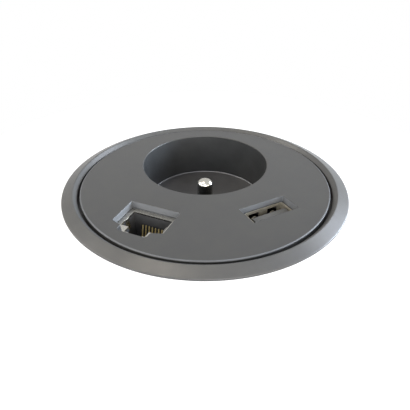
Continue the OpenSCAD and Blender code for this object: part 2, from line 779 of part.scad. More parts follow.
module usb_shell() {
    finger_w = 2.3;
    slot_w = finger_w + 1.2;
    color(nickel) at_usb() {
        difference() {
            block(usb_shell_w, usb_shell_h, usb_top - usb_shell_l, usb_top);
            block(usb_shell_w - 2 * usb_shell_t, usb_shell_h - 2 * usb_shell_t,
                usb_top - usb_shell_l - cut, usb_top + cut);
            for (side = [-1, 1]) translate([side * usb_finger_x, 0, 0])
                block(slot_w, usb_shell_h + 2, usb_top - 8, usb_top - usb_slot_drop);
        }
        // Spring fingers that lean into the mouth
        for (side = [-1, 1]) for (face = [0, 180]) rotate([0, 0, face])
            translate([side * usb_finger_x - finger_w / 2, usb_shell_h / 2 - usb_shell_t, usb_top - 8.2])
                rotate([3.5, 0, 0]) cube([finger_w, usb_shell_t, usb_finger_l]);
    }
}

module usb_tongue() {
    inside_w = usb_shell_w - 2 * usb_shell_t - 2 * seat_gap;
    inside_h = usb_shell_h - 2 * usb_shell_t - 2 * seat_gap;
    color(pale_plastic) at_usb() {
        translate([0, tongue_y, 0]) block(tongue_w, tongue_thick, usb_top - usb_shell_l + 1,
            usb_top - tongue_recess);
        block(inside_w, inside_h, usb_top - usb_shell_l, usb_top - usb_shell_l + 4);
    }
}

module usb_contacts() {
    color(gold) at_usb() for (k = [-1.5 : 1.5]) translate([k * 2.2, tongue_y + tongue_thick / 2 + 0.15, 0])
        block(1, 0.3, usb_top - usb_shell_l + 4, usb_top - 3);
}

module charger_board() {
    color(board_green) at_usb() translate([0, usb_board_y - board_t / 2, 0])
        block(charger_board_w, board_t, base_top, charger_board_top);
}

// Rectifier, control chip and inductor on the near side of the board
module board_components() {
    color(ferrite) at_usb() translate([0, usb_board_y - board_t, 0]) {
        translate([0, -chip[1] / 2, 0]) block(chip[0], chip[1], chip_z, chip_z + chip[2]);
        translate([-rectifier[0], -rectifier[1] / 2, 0])
            block(rectifier[0], rectifier[1], rectifier_z, rectifier_z + rectifier[2]);
        translate([inductor[0] / 2, -inductor[1] / 2, 0])
            block(inductor[0], inductor[1], inductor_z, inductor_z + inductor[2]);
    }
}

module transformer_core() {
    window_h = core_h - 4;
    color(ferrite) at_usb() translate([0, usb_board_y + core_d / 2, 0]) difference() {
        block(core_w, core_d, transformer_z - core_h / 2, transformer_z + core_h / 2);
        for (side = [-1, 1]) translate([side * (core_leg + window_w) / 2, 0, 0])
            block(window_w, core_d + 2 * cut, transformer_z - window_h / 2, transformer_z + window_h / 2);
    }
}

// Winding round the core's middle leg
module transformer_coil() {
    coil_h = core_h - 4 - 4 * fit_gap;
    color(copper) at_usb() translate([0, usb_board_y + core_d / 2, 0]) difference() {
        block(core_leg + 2 * window_w - 0.4, core_d - 0.6, transformer_z - coil_h / 2, transformer_z + coil_h / 2);
        block(core_leg + 2 * fit_gap, core_d, transformer_z - coil_h, transformer_z + coil_h);
    }
}

module capacitors() {
    color(dark_plastic) at_usb() for (side = [-1, 1]) translate([side * (cap_r + 1.6), usb_board_y, cap_z])
        rotate([-90, 0, 0]) cylinder(h = cap_l, r = cap_r);
}

module supply_leads() {
    color(brown_lead) sweep(line_route, lead_r, 8, [0, 0, 1]);
    color(blue_lead) sweep(neutral_route, lead_r, 8, [0, 0, 1]);
}

module lower_housing() {
    color(dark_plastic) difference() {
        union() {
            translate([0, 0, base_top]) cylinder(h = plate_z - base_top, r = housing_r);
            for (a = bump_angles) rotate([0, 0, a]) rotate_extrude(angle = 24)
                polygon([[housing_in + 0.5, -groove_z - bump_h], [housing_r + fit_gap, -groove_z - bump_h],
                    [bump_r, -groove_z + bump_h / 2], [bump_r, -groove_z + bump_h],
                    [housing_in + 0.5, -groove_z + bump_h]]);
        }
        // The bore, less the columns that stand against its wall
        difference() {
            translate([0, 0, base_top - cut]) cylinder(h = plate_z - base_top + 2 * cut, r = housing_in);
            at_columns() translate([0, 0, base_top - 2 * cut])
                cylinder(h = plate_boss_end - base_top + 2 * cut, r = column_r);
        }
        at_columns() translate([0, 0, base_top - cut])
            cylinder(h = plate_boss_end - base_top + 2 * cut, r = screw_r + 0.2);
    }
}

module base_cover() {
    color(dark_plastic) difference() {
        translate([0, 0, -module_depth]) cylinder(h = base_t, r = housing_r);
        translate([0, inlet_y, -module_depth - cut]) linear_extrude(base_t + 2 * cut)
            inlet_outline(inlet_w + slide_gap, inlet_h + slide_gap, inlet_corner + 0.5);
        at_data() translate([0, (jack_far - jack_near) / 2, 0])
            block(2 * jack_half_w - 1.6, jack_far + jack_near - 0.8, -module_depth - cut, base_top + cut);
        at_columns() {
            translate([0, 0, -module_depth - cut]) cylinder(h = base_t + 2 * cut, r = screw_r + 0.2);
            translate([0, 0, -module_depth - fit_gap])
                cylinder(h = screw_head_h + 2 * fit_gap, r1 = screw_head_r + 0.25, r2 = screw_r + 0.15);
        }
    }
}

module housing_screws() {
    color(tin) at_columns() difference() {
        union() {
            translate([0, 0, -module_depth]) cylinder(h = screw_head_h, r1 = screw_head_r, r2 = screw_r);
            translate([0, 0, -module_depth]) cylinder(h = plate_boss_end + 5 + module_depth, r = screw_r);
        }
        block(3, 0.6, -module_depth - cut, -module_depth + 0.6);
        block(0.6, 3, -module_depth - cut, -module_depth + 0.6);
    }
}

module clamp_washer() {
    color(dark_plastic) {
        tube(washer_d / 2, washer_bore_r, washer_top - washer_t, washer_top);
        intersection() {
            tube(washer_bore_r + 0.5, root_r + slide_gap, washer_top - washer_t, washer_top);
            block(2 * washer_bore_r + 2, keyway_w - 2 * slide_gap, washer_top - washer_t, washer_top);
        }
    }
}

module clamp_pad() {
    color(rubber) tube(pad_outer_r, pad_inner_r, washer_top, washer_top + pad_t);
}

module ring_nut() {
    color(dark_plastic) difference() {
        union() {
            translate([0, 0, nut_top - nut_flange_h]) cylinder(h = nut_flange_h, r = nut_d / 2 - 0.5);
            translate([0, 0, nut_top - nut_h]) cylinder(h = nut_h, r = nut_d / 2 - grip_r);
            for (k = [0 : nut_grips - 1]) rotate([0, 0, 360 * k / nut_grips])
                translate([nut_d / 2 - grip_r, 0, nut_top - nut_h]) cylinder(h = nut_h - 1, r = grip_r);
        }
        translate([0, 0, nut_top - nut_h - cut]) cylinder(h = nut_h + 2 * cut, r = nut_bore_r);
        translate([0, 0, nut_top - nut_h - fit_gap])
            cylinder(h = nut_lead_in + fit_gap, r1 = nut_bore_r + nut_lead_in + fit_gap, r2 = nut_bore_r);
    }
}

trim_ring();
threaded_sleeve();
insert_seal();
insert_plate();
socket_floor();
earth_pin();
earth_strap();
shutter();
shutter_spring();
line_contact();
neutral_contact();
contact_carrier();
carrier_screws();
mains_inlet();
inlet_blades();
data_jack_shield();
data_jack_body();
data_jack_contacts();
data_board();
rear_jack_shield();
rear_jack_body();
rear_jack_contacts();
usb_shell();
usb_tongue();
usb_contacts();
charger_board();
board_components();
transformer_core();
transformer_coil();
capacitors();
supply_leads();
lower_housing();
base_cover();
housing_screws();
clamp_washer();
clamp_pad();
ring_nut();
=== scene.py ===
import math

import bmesh
import bpy
from mathutils import Matrix, Vector


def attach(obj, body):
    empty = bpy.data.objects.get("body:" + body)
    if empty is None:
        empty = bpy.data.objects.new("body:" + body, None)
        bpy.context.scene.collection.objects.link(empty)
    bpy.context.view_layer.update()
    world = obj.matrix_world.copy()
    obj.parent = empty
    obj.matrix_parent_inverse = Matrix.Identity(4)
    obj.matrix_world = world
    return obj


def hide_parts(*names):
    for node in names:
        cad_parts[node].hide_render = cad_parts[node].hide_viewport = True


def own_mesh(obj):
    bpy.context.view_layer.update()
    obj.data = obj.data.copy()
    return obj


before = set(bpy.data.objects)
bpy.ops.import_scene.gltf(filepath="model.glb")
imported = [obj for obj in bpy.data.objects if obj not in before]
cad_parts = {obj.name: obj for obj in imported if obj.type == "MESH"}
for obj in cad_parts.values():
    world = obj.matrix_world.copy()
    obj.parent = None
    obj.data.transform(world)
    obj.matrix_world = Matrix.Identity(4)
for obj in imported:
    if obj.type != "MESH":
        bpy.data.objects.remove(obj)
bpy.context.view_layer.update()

# Desk socket: a round in-desk power module. Lengths are written in millimetres and
# turned to metres once, in settle(). The desk surface is z = 0.

MM = 0.001


def at(x, y=0.0, z=0.0):
    """Shift by so many millimetres."""
    return Matrix.Translation((x, y, z))


def turn(degrees, axis="Z"):
    """Turn about an axis through the origin."""
    return Matrix.Rotation(math.radians(degrees), 4, axis)


# Face plate
PLATE_R = 37.1
PLATE_RIM = 0.4
FACE_Z = 1.25
PLATE_UNDER = -1.05
# Socket: the well, the tube round it, its floor, the contact holes and the screws beside them
SOCKET = Vector((0, 12, 0))
WELL_R = 20
TUBE_R = 21.5
FLOOR_Z = -13.35
FLOOR_SEAT = -15.55
FLOOR_END = -17.55
CONTACT_X = 9.5
PIN_Y = -10
SCREW_X = 24.5
# Bosses under the plate for the housing screws
BOSS_R = 32
BOSS_ANGLES = (-10, 190, 270)
# Where the two ports stand on the plate, and which way they face
DATA_PORT = at(-15.75, -19.35) @ turn(-23.5)
USB_PORT = at(17.75, -14.3) @ turn(28.6)


# ---------------------------------------------------------------- materials

def linear(hex_colour):
    """sRGB hex to the linear RGBA that Blender's colour sockets take."""
    parts = [int(hex_colour[i:i + 2], 16) / 255 for i in (1, 3, 5)]
    return [c / 12.92 if c <= 0.04045 else ((c + 0.055) / 1.055) ** 2.4 for c in parts] + [1]


def add(tree, kind, sockets=None, **settings):
    """A node of this kind, its settings, and its input sockets given a value or an output to link."""
    made = tree.nodes.new(kind)
    for name, value in settings.items():
        setattr(made, name, value)
    for name, value in (sockets or {}).items():
        if isinstance(value, bpy.types.NodeSocket):
            tree.links.new(value, made.inputs[name])
        else:
            made.inputs[name].default_value = value
    return made


def ramp(tree, factor, stops):
    """Colour ramp whose stops are (place, hex colour)."""
    made = add(tree, "ShaderNodeValToRGB", {"Fac": factor})
    points = made.color_ramp.elements
    points[0].position, points[0].color = stops[0][0], linear(stops[0][1])
    points[1].position, points[1].color = stops[-1][0], linear(stops[-1][1])
    for place, colour in stops[1:-1]:
        points.new(place).color = linear(colour)
    return made.outputs["Color"]


def cleared(owner):
    """The emptied node tree of a new material or world."""
    owner.use_nodes = True
    owner.node_tree.nodes.clear()
    return owner.node_tree


def surface(name, colours, roughness, grain, depth, stretch=(1, 1, 1), metal=0.0, level=0.5, coat=0.0,
            wear=None, spread=0.08):
    """A finish: two near colours mottled over the piece, a grain of so many millimetres as bump of a depth
    in millimetres and as roughness within spread, and wear where the mottling peaks."""
    made = bpy.data.materials.new(name)
    tree = cleared(made)
    place = add(tree, "ShaderNodeTexCoord").outputs["Object"]
    spot = add(tree, "ShaderNodeMapping", {"Vector": place, "Scale": stretch}).outputs["Vector"]
    fine = add(tree, "ShaderNodeTexNoise", {"Vector": spot, "Scale": 1 / (grain * MM), "Detail": 3.0,
                                            "Roughness": 0.55}).outputs["Fac"]
    broad = add(tree, "ShaderNodeTexNoise", {"Vector": spot, "Scale": 1 / (14 * grain * MM), "Detail": 4.0,
                                             "Roughness": 0.6}).outputs["Fac"]
    colour = ramp(tree, broad, [(0.35, colours[0]), (0.65, colours[1])])
    rough = add(tree, "ShaderNodeMapRange", {"Value": fine, "From Min": 0.3, "From Max": 0.7,
                                             "To Min": roughness - spread, "To Max": roughness + spread})
    bump = add(tree, "ShaderNodeBump", {"Height": fine, "Strength": 1.0, "Distance": depth * MM})
    if wear:
        rubbed = add(tree, "ShaderNodeMapRange", {"Value": broad, "From Min": 0.62, "From Max": 0.75})
        colour = add(tree, "ShaderNodeMix", {0: rubbed.outputs["Result"], 6: colour, 7: linear(wear)},
                     data_type="RGBA").outputs[2]
    shader = add(tree, "ShaderNodeBsdfPrincipled", {
        "Base Color": colour, "Roughness": rough.outputs["Result"], "Metallic": metal,
        "IOR": 1.5, "Specular IOR Level": level, "Coat Weight": coat, "Normal": bump.outputs["Normal"]})
    add(tree, "ShaderNodeOutputMaterial", {"Surface": shader.outputs["BSDF"]})
    return made


# Moulded polycarbonate blend under a soft-touch anthracite lacquer: matt, with the fine tooth of a
# spark-eroded mould and a faint pearl that lifts it on slopes. The real tooth is under 0.1 mm; it is
# drawn at 0.3 mm so that it shows.
LACQUER = surface("lacquered_anthracite_plastic", ("#373737", "#393938"), 0.36, 0.3, 0.010, level=0.3)
# The same lacquer on the ring, sprayed thicker: a little lighter and with a coarser tooth.
RING_LACQUER = surface("lacquered_ring_plastic", ("#3e3e3e", "#424241"), 0.36, 0.35, 0.016, level=0.3)
# The same lacquer on the pockets' steep walls and the plate's rounded rim, lighter and with less gloss:
# its lighter colour is painted light on the lit walls and a painted highlight along the rim.
PAINTED_LIGHT_LACQUER = surface("anthracite_lacquer_painted_light", ("#525457", "#585a5d"), 0.5, 0.3, 0.008, level=0.3)
# Moulded glass-filled nylon: near black, with a dry, slightly mottled skin.
NYLON = surface("moulded_black_nylon", ("#26272a", "#2e2f32"), 0.5, 0.5, 0.014)
# Moulded polycarbonate of the socket's well: dark grey, a little smoother than the nylon.
SOCKET_PLASTIC = surface("moulded_socket_plastic", ("#212223", "#272829"), 0.42, 0.35, 0.008)
# Moulded polycarbonate of the well's floor and of the jacks' bodies: mid grey, satin.
JACK_PLASTIC = surface("moulded_jack_plastic", ("#3a3a3b", "#424243"), 0.36, 0.35, 0.008)
# The same plastic where the mould is polished, and painted much lighter: a painted highlight that draws a
# thin bright line round the well's floor.
LEDGE_HIGHLIGHT_PLASTIC = surface("polished_socket_plastic_painted_highlight", ("#65666a", "#6e6f72"), 0.16, 0.35, 0.002,
                           spread=0.03)
# Moulded thermoset of the mains inlet: black with a low gloss.
INLET_PLASTIC = surface("moulded_inlet_thermoset", ("#1c1c1e", "#242427"), 0.36, 0.4, 0.008)
# Pressed EPDM rubber: black, dull and dusty in its pores.
RUBBER = surface("pressed_black_rubber", ("#1a1a1b", "#252526"), 0.78, 0.35, 0.02, level=0.3)
# Turned brass with a bright nickel plate: a silvery mirror, softened by turning marks round the pin.
NICKEL = surface("nickel_plated_turned_brass", ("#b1afa7", "#bdbbb4"), 0.2, 0.25, 0.003, stretch=(1, 1, 6),
                 metal=1.0, spread=0.06)
# Rolled stainless strip, folded into the charging port's shell: pale, warm and brushed.
SHELL_STEEL = surface("rolled_stainless_strip", ("#9d978a", "#ada799"), 0.34, 0.2, 0.003, stretch=(1, 1, 8),
                      metal=0.65)
# Tin-plated steel sheet of the jack shields: grey-white and satin.
TIN = surface("tin_plated_sheet", ("#acaaa4", "#b9b7b1"), 0.24, 0.3, 0.003, stretch=(6, 1, 1),
              metal=1.0)
# Zinc-plated screws: grey with a faint blue cast and dull patches.
ZINC = surface("zinc_plated_steel", ("#a3a8ad", "#b6babd"), 0.36, 0.3, 0.004, metal=1.0, wear="#8d8f90")
# Stamped brass of the contacts: yellow, slightly tarnished.
BRASS = surface("stamped_brass", ("#c7a257", "#d3b066"), 0.34, 0.3, 0.003, metal=1.0, wear="#9c7d45")
# Hard gold over nickel on the jack wires and the port's contacts: warm and bright.
GOLD = surface("hard_gold_plate", ("#d0be88", "#dccb97"), 0.34, 0.15, 0.002, metal=0.4, spread=0.05)
# Drawn spring wire: bright grey with drawing lines along it.
SPRING_STEEL = surface("drawn_spring_wire", ("#a9abad", "#bcbec0"), 0.28, 0.15, 0.002, metal=1.0)
# Glass-epoxy board under a green solder mask: glossy, with the weave just showing through.
BOARD = surface("masked_glass_epoxy_board", ("#24543a", "#2c6044"), 0.3, 0.45, 0.006, coat=0.2)
# Moulded PBT of the port's tongue: mid grey and waxy.
PALE_PLASTIC = surface("moulded_grey_pbt", ("#3f3f3d", "#484846"), 0.45, 0.3, 0.005)
# Moulded epoxy of chips and capacitor sleeves: black and matt.
RESIN = surface("moulded_black_epoxy", ("#1d1d1f", "#27272a"), 0.55, 0.2, 0.006)
# Sintered and ground ferrite: dark grey with a fine sparkle of grains.
FERRITE = surface("ground_ferrite", ("#35363a", "#45464b"), 0.5, 0.2, 0.01, metal=0.3)
# Enamelled copper wire wound in layers: red-brown and glossy, ridged by the wire every 0.4 mm.
COPPER = surface("enamelled_copper_winding", ("#a3562c", "#b96838"), 0.28, 0.4, 0.05, stretch=(0.1, 0.1, 1),
                 metal=1.0, coat=0.3)
# Extruded PVC on the supply leads, smooth with a low gloss: brown on line, which runs at the right, and
# blue on neutral. The two leads are one node, so the colour goes by place.
LEADS = surface("extruded_pvc_insulation", ("#63371f", "#6d3d23"), 0.4, 0.4, 0.004)
tree = LEADS.node_tree
place = add(tree, "ShaderNodeTexCoord").outputs["Object"]
across = add(tree, "ShaderNodeVectorMath", {0: place, 1: (1, 0.3, 0)}, operation="DOT_PRODUCT")
neutral = add(tree, "ShaderNodeMath", {0: across.outputs["Value"], 1: 11 * MM}, operation="LESS_THAN")
for node in tree.nodes:
    if node.type == "BSDF_PRINCIPLED":
        brown = node.inputs["Base Color"].links[0].from_socket
        by_place = add(tree, "ShaderNodeMix", {0: neutral.outputs[0], 6: brown, 7: linear("#24508c")},
                       data_type="RGBA")
        tree.links.new(by_place.outputs[2], node.inputs["Base Color"])
        break

# Finishes of the CAD nodes that are shown as they are
CAD_FINISHES = {
    "insert_seal": RUBBER, "earth_strap": BRASS, "shutter": NYLON, "line_contact": BRASS,
    "neutral_contact": BRASS, "contact_carrier": NYLON, "carrier_screws": ZINC,
    "data_board": BOARD, "rear_jack_body": JACK_PLASTIC, "rear_jack_contacts": GOLD,
    "charger_board": BOARD, "board_components": RESIN, "transformer_core": FERRITE,
    "transformer_coil": COPPER, "capacitors": RESIN, "supply_leads": LEADS,
}
for node_name, finish in CAD_FINISHES.items():
    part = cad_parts[node_name]
    part.data.materials.clear()
    part.data.materials.append(finish)


# ---------------------------------------------------------------- modelling

def round_corners(bm, corners, rounds):
    """Rounds the corners of a flat face; rounds gives the radius at each corner's index."""
    for index, radius in sorted(rounds.items()):
        bmesh.ops.bevel(bm, geom=[corners[index]], offset=radius, offset_type="OFFSET", segments=4,
                        profile=0.5, affect="VERTICES", material=-1, clamp_overlap=True)


def turned(corners, rounds=None, steps=144):
    """Solid of turn about Z from a cross-section's (radius, height) corners."""
    bm = bmesh.new()
    verts = [bm.verts.new((r, 0, z)) for r, z in corners]
    bm.faces.new(verts)
    round_corners(bm, verts, rounds or {})
    bmesh.ops.delete(bm, geom=bm.faces[:], context="FACES_ONLY")
    on_axis = [e for e in bm.edges if all(abs(v.co.x) < 1e-6 for v in e.verts)]
    bmesh.ops.delete(bm, geom=on_axis, context="EDGES")
    bmesh.ops.spin(bm, geom=bm.verts[:] + bm.edges[:], cent=(0, 0, 0), axis=(0, 0, 1), angle=math.tau,
                   steps=steps, use_merge=True)
    bmesh.ops.remove_doubles(bm, verts=bm.verts[:], dist=1e-4)
    bmesh.ops.recalc_face_normals(bm, faces=bm.faces[:])
    return bm


def cylinder(r, z0, z1, steps):
    """Upright cylinder about Z."""
    return turned([(0, z0), (r, z0), (r, z1), (0, z1)], steps=steps)


def prism(corners, z0, z1, rounds=None, edge=0.0):
    """Upright block on a plan outline, its corners rounded in plan and its end edges by edge."""
    bm = bmesh.new()
    verts = [bm.verts.new((x, y, z0)) for x, y in corners]
    bm.faces.new(verts)
    round_corners(bm, verts, rounds or {})
    raised = bmesh.ops.extrude_face_region(bm, geom=bm.faces[:])
    bmesh.ops.translate(bm, verts=[v for v in raised["geom"] if isinstance(v, bmesh.types.BMVert)],
                        vec=(0, 0, z1 - z0))
    bmesh.ops.recalc_face_normals(bm, faces=bm.faces[:])
    if edge:
        ends = [e for e in bm.edges if abs(e.verts[0].co.z - e.verts[1].co.z) < 1e-6]
        bmesh.ops.bevel(bm, geom=ends, offset=edge, offset_type="OFFSET", segments=3, profile=0.5,
                        affect="EDGES", material=-1, clamp_overlap=True)
    return bm


def block(w, d, z0, z1, x=0.0, y=0.0, corner=0.0, edge=0.0):
    """Upright block w by d centred on x, y."""
    corners = [(x - w / 2, y - d / 2), (x + w / 2, y - d / 2),
               (x + w / 2, y + d / 2), (x - w / 2, y + d / 2)]
    return prism(corners, z0, z1, {k: corner for k in range(4)} if corner else None, edge)


def sunk(corners, levels, rounds=None):
    """Cutter for a pocket: a plan outline that goes straight down from the first level to the second,
    and is drawn in a little on the way to each later level, given as (height, inset)."""
    bm = bmesh.new()
    verts = [bm.verts.new((x, y, levels[0][0])) for x, y in corners]
    bm.faces.new(verts)
    round_corners(bm, verts, rounds or {})
    made = bmesh.ops.extrude_face_region(bm, geom=bm.faces[:])
    low = [f for f in made["geom"] if isinstance(f, bmesh.types.BMFace)][0]
    bmesh.ops.translate(bm, verts=low.verts[:], vec=(0, 0, levels[1][0] - levels[0][0]))
    for (above, _), (level, inset) in zip(levels[1:], levels[2:]):
        bmesh.ops.inset_region(bm, faces=[low], thickness=inset, depth=0, use_even_offset=True,
                               use_boundary=True)
        bmesh.ops.translate(bm, verts=low.verts[:], vec=(0, 0, level - above))
    bmesh.ops.recalc_face_normals(bm, faces=bm.faces[:])
    return bm


def moved(bm, matrix):
    """The same bmesh, moved."""
    bmesh.ops.transform(bm, matrix=matrix, verts=bm.verts[:])
    return bm


def gathered(shapes):
    """One bmesh that holds several shapes."""
    whole = bmesh.new()
    for shape in shapes:
        mesh = bpy.data.meshes.new("part")
        shape.to_mesh(mesh)
        shape.free()
        whole.from_mesh(mesh)
        bpy.data.meshes.remove(mesh)
    return whole


def thing(bm, name="working"):
    """Object from a bmesh, still in millimetres."""
    mesh = bpy.data.meshes.new(name)
    bm.to_mesh(mesh)
    bm.free()
    made = bpy.data.objects.new(name, mesh)
    bpy.context.scene.collection.objects.link(made)
    return made


def combine(base, others, operation):
    """Joins or cuts base with the others, one after another."""
    piece = thing(base) if isinstance(base, bmesh.types.BMesh) else base
    for other in others:
        tool = thing(other)
        change = piece.modifiers.new(operation, "BOOLEAN")
        change.operation, change.solver, change.object = operation, "EXACT", tool
        evaluated = piece.evaluated_get(bpy.context.evaluated_depsgraph_get())
        mesh = bpy.data.meshes.new_from_object(evaluated)
        piece.modifiers.clear()
        piece.data = mesh
        bpy.data.objects.remove(tool)
    return piece


def settle(piece, name, finish, body, nodes, sharp=32, bevel=0.0):
    """Turns a finished shape to metres, gives it its finish and names its body and CAD nodes."""
    if isinstance(piece, bmesh.types.BMesh):
        piece = thing(piece)
    piece.name = name
    mesh = piece.data
    mesh.name = name
    mesh.transform(Matrix.Scale(MM, 4))
    mesh.materials.clear()
    mesh.materials.append(finish)
    mesh.shade_smooth()
    mesh.set_sharp_from_angle(angle=math.radians(sharp))
    if bevel:
        edge = piece.modifiers.new("edges", "BEVEL")
        edge.width, edge.segments, edge.limit_method = bevel * MM, 2, "ANGLE"
        edge.angle_limit, edge.harden_normals = math.radians(38), False
        edge.use_clamp_overlap = True
    weigh = piece.modifiers.new("normals", "WEIGHTED_NORMAL")
    weigh.keep_sharp = not bevel
    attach(piece, body)
    if nodes:
        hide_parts(*nodes)
    return piece


def dressed(node_name, finish, body, bevel):
    """Copy of a CAD node, with its edges broken by so many millimetres as its mould or punch leaves them."""
    bm = bmesh.new()
    bm.from_mesh(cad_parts[node_name].data)
    bmesh.ops.remove_doubles(bm, verts=bm.verts[:], dist=2e-7)
    bmesh.ops.dissolve_limit(bm, angle_limit=math.radians(0.4), verts=bm.verts[:], edges=bm.edges[:])
    moved(bm, Matrix.Scale(1 / MM, 4))
    return settle(bm, node_name + "_dressed", finish, body, [node_name], bevel=bevel)


# ---------------------------------------------------------------- trim ring and plate

RING_R = 42.3
SLEEVE_TOP = -1.35
# Cross-section: a groove underneath for the sleeve's tongue, the flange, the band, the ridge and the bevel
ring = turned([(37.8, SLEEVE_TOP), (38.25, SLEEVE_TOP), (38.25, -0.55), (38.85, -0.55), (38.85, SLEEVE_TOP),
               (39.3, SLEEVE_TOP), (39.3, 0), (RING_R, 0), (RING_R, 0.5), (38.9, 2.0), (37.8, 0.7)],
              {7: 0.08, 8: 0.22, 9: 0.3, 10: 0.06}, steps=192)
ring = settle(ring, "trim_ring_turned", RING_LACQUER, "module", ["trim_ring"])
# The ring's upright lip gets the black nylon: painted shade for the dark line where the ring meets the desk.
ring.data.materials.append(NYLON)
for face in ring.data.polygons:
    if face.center.xy.length > (RING_R - 0.15) * MM and face.center.z < 0.4 * MM:
        face.material_index = 1

# Levels of a pocket's rounded rim, and the pockets' outlines in their ports' own frames
RIM = [(FACE_Z + 0.35, 0), (FACE_Z, 0), (FACE_Z - 0.02, 0.06), (FACE_Z - 0.06, 0.03), (FACE_Z - 0.12, 0.02)]
DATA_OUTLINE = [(-7.65, 5.6), (7.65, 5.6), (7.65, -4.5), (4.5, -5.6), (4.5, -7.15), (3.9, -7.75),
                (-3.9, -7.75), (-4.5, -7.15), (-4.5, -5.6), (-7.65, -4.5)]
USB_OUTLINE = [(-8.05, -4.325), (7.05, -4.325), (7.05, 3.025), (-8.05, 3.025)]
# Each side of the charging port's middle, a spring finger leans in through a window
FINGER_X = 3.15

disc = turned([(0, PLATE_UNDER), (PLATE_R, PLATE_UNDER), (PLATE_R, FACE_Z), (0, FACE_Z)],
              {1: 0.1, 2: PLATE_RIM}, steps=192)
# Under the plate: the well's tube, a collar round the charging port, bosses and ribs
under = [moved(cylinder(TUBE_R, FLOOR_SEAT, 0.5, 128), Matrix.Translation(SOCKET)),
         moved(block(17.5, 9.75, -2.95, -0.5, x=-0.5, y=-0.65, edge=0.1), USB_PORT)]
for side in (-1, 1):
    under.append(moved(cylinder(2.6, FLOOR_END, -0.5, 32), at(side * SCREW_X, SOCKET.y)))
    under.append(block(4.0, 2, -14.55, -0.6, x=side * 23, y=SOCKET.y))
for angle in BOSS_ANGLES:
    under.append(moved(cylinder(2.3, -8.05, -0.5, 32), turn(angle) @ at(BOSS_R)))
plate = combine(disc, under, "UNION")
# The well with its rounded rim, and each port's pocket and the opening in the pocket's floor
cuts = [moved(turned([(0, -20), (WELL_R, -20), (WELL_R, FACE_Z - 0.28), (WELL_R + 0.02, FACE_Z - 0.17),
                      (WELL_R + 0.08, FACE_Z - 0.08), (WELL_R + 0.17, FACE_Z - 0.02),
                      (WELL_R + 0.28, FACE_Z), (WELL_R + 0.28, 3), (0, 3)], steps=160),
              Matrix.Translation(SOCKET)),
        moved(sunk(DATA_OUTLINE, RIM + [(-0.6, 0.29)], {0: 0.35, 1: 0.35, 2: 0.3, 3: 0.2, 8: 0.2, 9: 0.3}),
              DATA_PORT),
        moved(block(14.9, 12.1, -3, -0.55, y=-1.05), DATA_PORT),
        moved(sunk(USB_OUTLINE, RIM + [(-0.8, 0.02)], {k: 0.3 for k in range(4)}), USB_PORT),
        moved(block(13.3, 6.3, -4, -0.5, corner=0.8), USB_PORT)]
# Room for the charging shell's fingers, and the screws' pilot holes
for side in (-1, 1):
    cuts.append(moved(block(3.5, 8.6, -4, -1.0, x=side * FINGER_X), USB_PORT))
    cuts.append(moved(cylinder(1.25, -20, -10.5, 24), at(side * SCREW_X, SOCKET.y)))
for angle in BOSS_ANGLES:
    cuts.append(moved(cylinder(1.3, -10, -1.1, 24), turn(angle) @ at(BOSS_R)))
plate = combine(plate, cuts, "DIFFERENCE")
settle(plate, "face_plate_moulded", LACQUER, "module", ["insert_plate"])
# The well's wall isn't lacquered: its bare plastic is darker than the face. The pockets' walls and the
# rounded rim get a lighter lacquer: painted light on the walls and a painted highlight along the rim.
plate.data.materials.append(SOCKET_PLASTIC)
plate.data.materials.append(PAINTED_LIGHT_LACQUER)
for face in plate.data.polygons:
    height, radius = face.center.z / MM, face.center.xy.length / MM
    out = (face.center / MM - SOCKET).xy
    in_pocket = face.center.y < -5 * MM and -2 < height < FACE_Z - 0.1 and radius < 30
    if out.length < WELL_R + 0.015 and face.normal.xy.dot(out) < 0:
        face.material_index = 1
    elif in_pocket and abs(face.normal.z) < 0.5:
        face.material_index = 2
    elif radius > PLATE_R - 0.35 and height > FACE_Z - PLATE_RIM and face.normal.z > 0.5:
        face.material_index = 2

# ---------------------------------------------------------------- socket

LEDGE_Z = FLOOR_Z + 0.25
floor = turned([(0, -16.05), (19.9, -16.05), (19.9, LEDGE_Z), (19.45, LEDGE_Z), (19.45, FLOOR_Z),
                (0, FLOOR_Z)], {2: 0.12, 3: 0.2}, steps=128)
floor = combine(floor, [cylinder(TUBE_R, FLOOR_END, FLOOR_SEAT, 128)], "UNION")
holes = []
for side in (-1, 1):
    holes.append(moved(turned([(0, -19), (2.7, -19), (2.7, FLOOR_Z - 0.35), (2.8, FLOOR_Z - 0.1),
                               (3.05, FLOOR_Z), (3.05, -12), (0, -12)], steps=64),
                       at(side * CONTACT_X)))
holes.append(moved(cylinder(2.25, -19, -12, 64), at(0, PIN_Y)))
floor = combine(floor, holes, "DIFFERENCE")
floor.data.transform(Matrix.Translation(SOCKET))
settle(floor, "socket_floor_moulded", JACK_PLASTIC, "module", ["socket_floor"])
# The raised ledge round the floor is polished, and lighter in colour as a painted highlight.
floor.data.materials.append(LEDGE_HIGHLIGHT_PLASTIC)
for face in floor.data.polygons:
    face.material_index = 1 if face.center.z > (FLOOR_Z + 0.02) * MM else 0

# Earth pin: tail, collar under the floor, neck in the floor, shaft and dome
PIN_R = 2.4
DOME = 1.6
SHAFT_TOP = -1.05
dome = [(PIN_R * math.cos(math.radians(a)), SHAFT_TOP + DOME * math.sin(math.radians(a)))
        for a in range(0, 90, 9)]
pin = turned([(0, -33.55), (1.9, -33.55), (1.9, -18.75), (3.6, -18.75), (3.6, FLOOR_END),
              (2.2, FLOOR_END), (2.2, -13.15), (PIN_R, -13.15)] + dome + [(0, SHAFT_TOP + DOME)], steps=64)
pin = moved(pin, at(0, SOCKET.y + PIN_Y))
settle(pin, "earth_pin_turned", NICKEL, "module", ["earth_pin"])

# The shutter pushes its spring together from 15 to 9 mm, against the seat at the back; the spring is copied
# from its CAD node as it is.
coil = dressed("shutter_spring", SPRING_STEEL, "module", 0)
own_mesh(coil)

# ---------------------------------------------------------------- data jack

JACK_TOP = -0.65
JACK_END = -25.475
